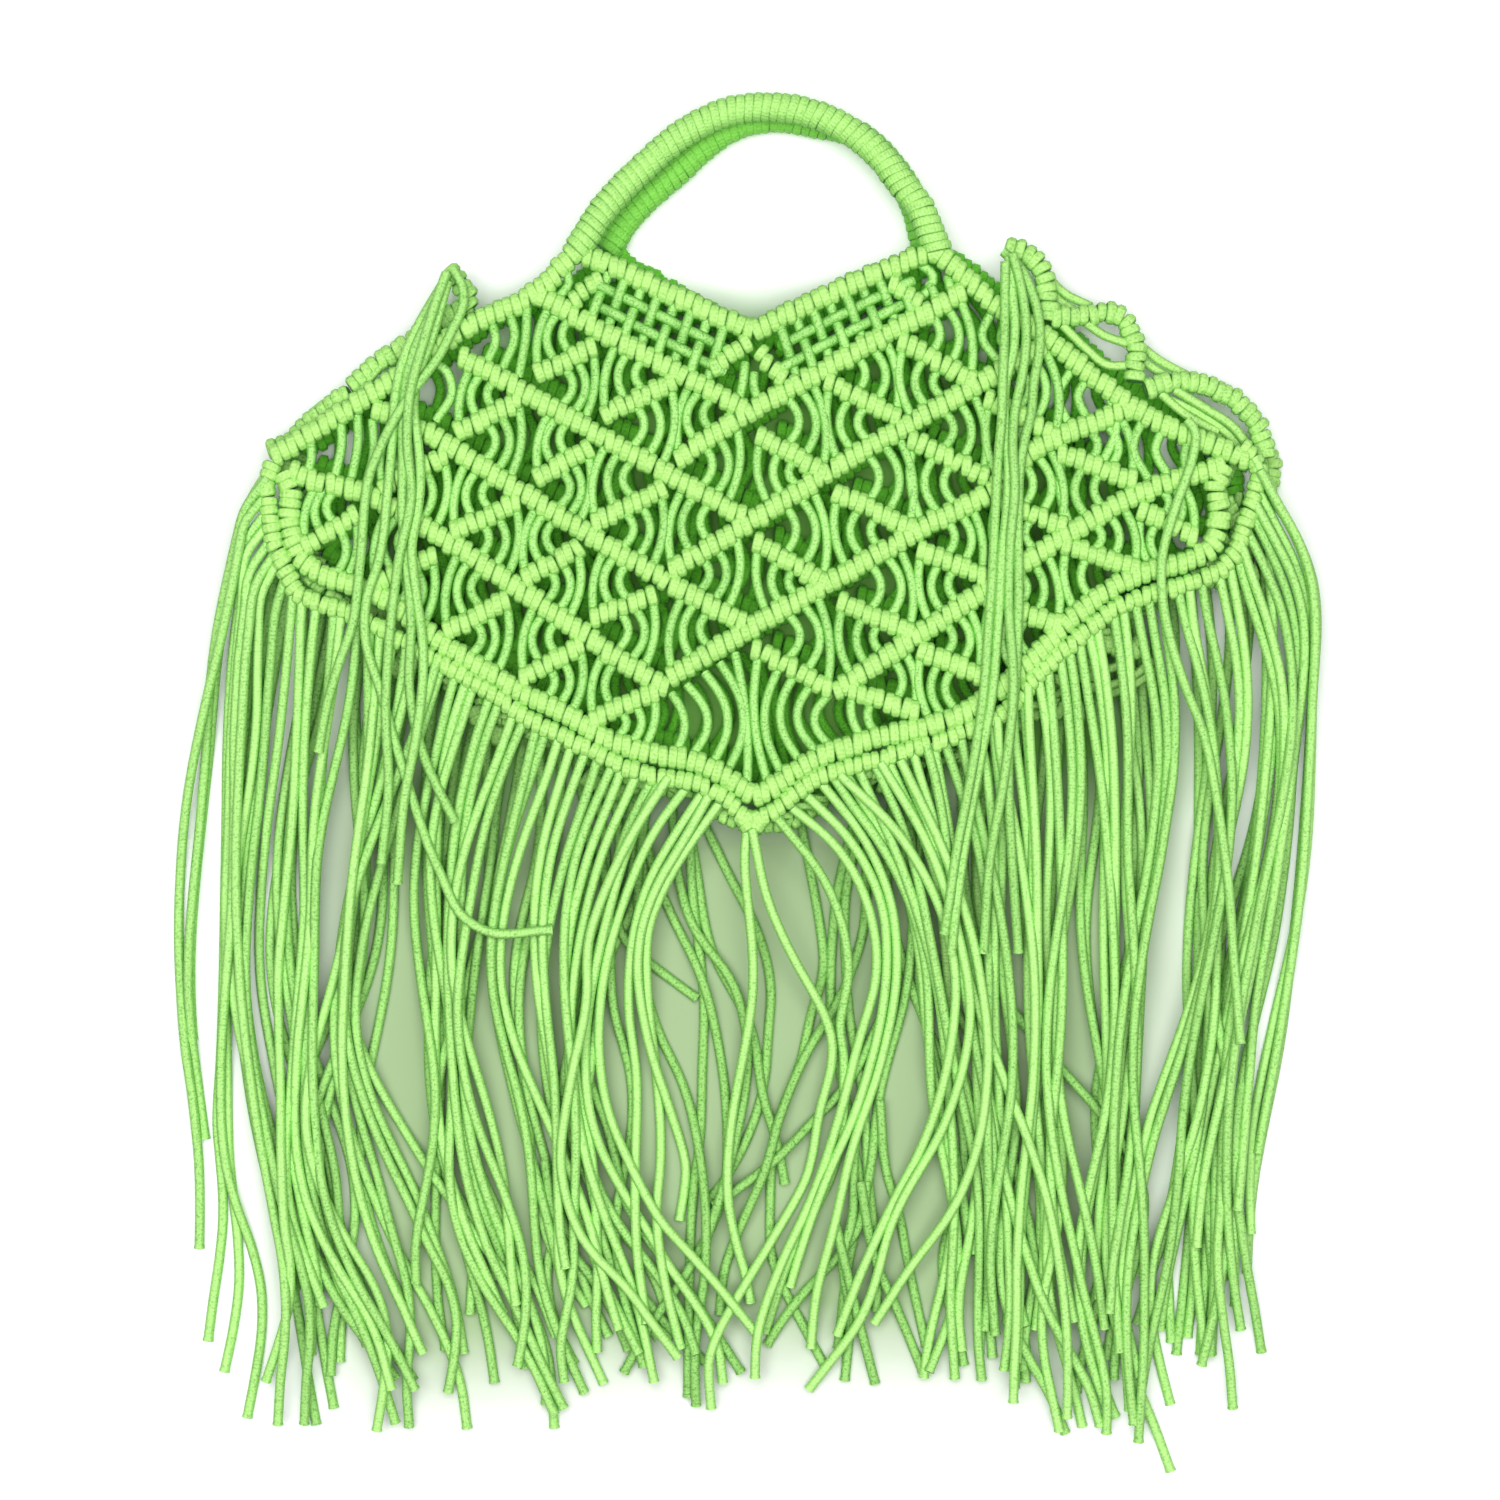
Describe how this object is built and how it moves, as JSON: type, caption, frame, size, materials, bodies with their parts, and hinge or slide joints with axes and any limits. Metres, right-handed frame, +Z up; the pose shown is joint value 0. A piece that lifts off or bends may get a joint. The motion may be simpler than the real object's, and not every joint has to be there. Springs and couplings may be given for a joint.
{
  "type": "fishnet tote bag with fringe",
  "caption": "Knotted cord handbag with wrapped arch handles, open net panels, a zigzag gusset and a long loose fringe, lying on its back.",
  "frame": {"origin": "on the surface that the bag lies on, under the middle of its bounding box", "axes": "+X to the right across the bag as seen from above, +Y from the fringe towards the handles, +Z up"},
  "size_m": [0.4586, 0.5622, 0.0419],
  "materials": {
    "net_cord": "matt knotted cotton cord",
    "gusset_cord": "matt knotted cotton cord",
    "handle_cord": "matt cotton cord, closely wrapped",
    "fringe_cord": "matt cotton cord, loose ends cut flat"
  },
  "bodies": {
    "root": {"net_front": "net_cord", "net_back": "net_cord", "hem_front": "net_cord", "hem_back": "net_cord", "gusset": "gusset_cord", "handle_front": "handle_cord", "handle_back": "handle_cord", "fringe_front": "fringe_cord", "fringe_back": "fringe_cord", "tassel_left": "fringe_cord", "tassel_right": "fringe_cord"}
  },
  "joints": []
}
